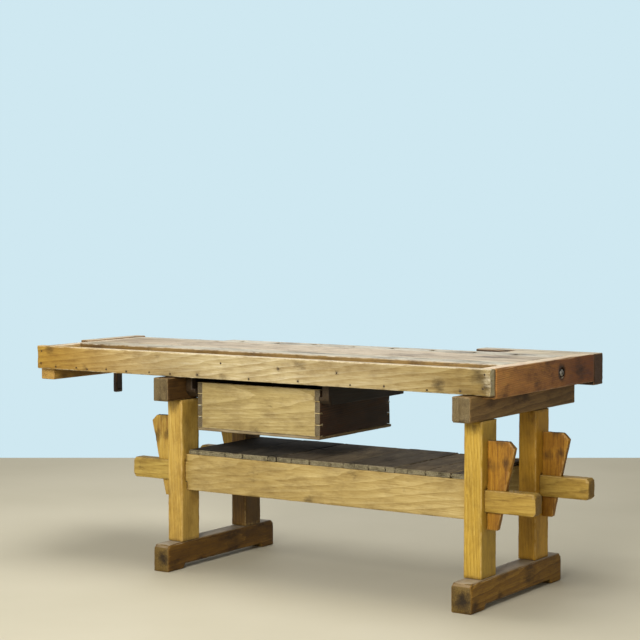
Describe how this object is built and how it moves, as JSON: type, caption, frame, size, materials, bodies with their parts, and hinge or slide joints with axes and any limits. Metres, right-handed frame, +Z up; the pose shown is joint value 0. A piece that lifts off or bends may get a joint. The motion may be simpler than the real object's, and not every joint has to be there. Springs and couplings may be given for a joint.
{
  "type": "joiner's workbench",
  "caption": "Joiner's bench with a tool tray, wooden shoulder and tail vises, a hanging drawer, a board shelf and a wedged knock-down underframe.",
  "frame": {"origin": "on the floor, under the middle of the bench's overall box", "axes": "+X along the bench from the tail vise to the right end, +Y from the tool tray towards the vise side, +Z up"},
  "size_m": [2.315, 1.032, 0.83],
  "materials": {
    "worn_top": "beech, planed and oiled, worn pale and grey by use",
    "honey_beech": "beech, planed, old wax, honey coloured",
    "aged_cap": "beech, planed, dark brown with handling",
    "dark_block": "beech end block, nearly black with age",
    "weathered_shelf": "rough sawn softwood, grey and dusty",
    "pale_pine": "pine, planed, unfinished, pale yellow",
    "dark_pine": "pine, planed, browned inside the underframe",
    "wedge_wood": "beech, sawn, brown and rubbed",
    "vise_wood": "hornbeam, turned and shaved, dark with oil",
    "iron": "forged iron, dull grey brown"
  },
  "bodies": {
    "bench": {"slab_tray_plank": "worn_top", "slab_middle_plank": "worn_top", "slab_dog_plank": "worn_top", "tray_floor": "worn_top", "shoulder_vise_spacer": "worn_top", "tray_board": "honey_beech", "tail_vise_keeper": "honey_beech", "left_foot": "honey_beech", "right_foot": "honey_beech", "left_bearer": "honey_beech", "right_bearer": "honey_beech", "left_near_leg": "honey_beech", "left_far_leg": "honey_beech", "right_near_leg": "honey_beech", "right_far_leg": "honey_beech", "near_stretcher": "honey_beech", "far_stretcher": "honey_beech", "left_locating_pin": "honey_beech", "right_locating_pin": "honey_beech", "left_end_cap": "aged_cap", "right_end_cap": "aged_cap", "shoulder_vise_arm": "dark_block", "shelf_board_1": "weathered_shelf", "shelf_board_2": "weathered_shelf", "shelf_board_3": "weathered_shelf", "shelf_board_4": "weathered_shelf", "shelf_board_5": "weathered_shelf", "shelf_board_6": "weathered_shelf", "drawer_left_runner": "wedge_wood", "drawer_right_runner": "wedge_wood", "left_cap_bolt": "iron", "right_cap_bolt": "iron", "arm_bolt": "iron", "left_cap_nut": "iron", "right_cap_nut": "iron", "arm_nut": "iron"},
    "drawer": {"drawer_front": "pale_pine", "drawer_back": "dark_pine", "drawer_left_side": "dark_pine", "drawer_right_side": "dark_pine", "drawer_bottom": "pale_pine", "drawer_left_cleat": "dark_pine", "drawer_right_cleat": "dark_pine"},
    "left_near_wedge": {"left_near_wedge": "wedge_wood"},
    "left_far_wedge": {"left_far_wedge": "wedge_wood"},
    "right_near_wedge": {"right_near_wedge": "wedge_wood"},
    "right_far_wedge": {"right_far_wedge": "wedge_wood"},
    "slab_dog": {"slab_dog": "wedge_wood"},
    "tail_vise": {"tail_vise_cross_piece": "aged_cap", "tail_vise_cheek": "worn_top", "tail_vise_jaw": "worn_top", "tail_vise_cover": "worn_top", "tail_vise_rail": "honey_beech"},
    "tail_dog": {"tail_vise_dog": "wedge_wood"},
    "tail_screw": {"tail_vise_screw": "vise_wood"},
    "tail_handle": {"tail_vise_handle": "vise_wood"},
    "shoulder_jaw": {"shoulder_vise_jaw": "honey_beech"},
    "shoulder_screw": {"shoulder_vise_screw": "vise_wood"},
    "shoulder_handle": {"shoulder_vise_handle": "vise_wood"}
  },
  "joints": [
    {"name": "drawer_slide", "type": "slide", "parent": "bench", "child": "drawer", "axis": [0, -1, 0], "range_m": [0, 0.3]},
    {"name": "left_near_wedge_lift", "type": "slide", "parent": "bench", "child": "left_near_wedge", "axis": [0, 0, 1], "range_m": [0, 0.13]},
    {"name": "left_far_wedge_lift", "type": "slide", "parent": "bench", "child": "left_far_wedge", "axis": [0, 0, 1], "range_m": [0, 0.13]},
    {"name": "right_near_wedge_lift", "type": "slide", "parent": "bench", "child": "right_near_wedge", "axis": [0, 0, 1], "range_m": [0, 0.13]},
    {"name": "right_far_wedge_lift", "type": "slide", "parent": "bench", "child": "right_far_wedge", "axis": [0, 0, 1], "range_m": [0, 0.13]},
    {"name": "slab_dog_slide", "type": "slide", "parent": "bench", "child": "slab_dog", "axis": [0, 0, 1], "range_m": [0, 0.06]},
    {"name": "tail_vise_slide", "type": "slide", "parent": "bench", "child": "tail_vise", "axis": [-1, 0, 0], "range_m": [0, 0.1801]},
    {"name": "tail_dog_slide", "type": "slide", "parent": "tail_vise", "child": "tail_dog", "axis": [0, 0, 1], "range_m": [0, 0.06]},
    {"name": "tail_screw_turn", "type": "hinge", "parent": "tail_vise", "child": "tail_screw", "pos_m": [-1.1155, 0.164, 0.748], "axis": [-1, 0, 0], "range_deg": [0, 5400]},
    {"name": "tail_handle_slide", "type": "slide", "parent": "tail_screw", "child": "tail_handle", "axis": [0, 0, 1], "range_m": [0, 0.11]},
    {"name": "shoulder_jaw_slide", "type": "slide", "parent": "bench", "child": "shoulder_jaw", "axis": [0, 1, 0], "range_m": [0, 0.0841]},
    {"name": "shoulder_screw_turn", "type": "hinge", "parent": "shoulder_jaw", "child": "shoulder_screw", "pos_m": [0.607, 0.478, 0.77], "axis": [0, 1, 0], "range_deg": [0, 2520]},
    {"name": "shoulder_handle_slide", "type": "slide", "parent": "shoulder_screw", "child": "shoulder_handle", "axis": [1, 0, 0], "range_m": [-0.1, 0.1]}
  ],
  "couplings": [
    {"joint": "tail_vise_slide", "follows": "tail_screw_turn", "m_per_rad": 0.0019099},
    {"joint": "shoulder_jaw_slide", "follows": "shoulder_screw_turn", "m_per_rad": 0.0019099}
  ]
}
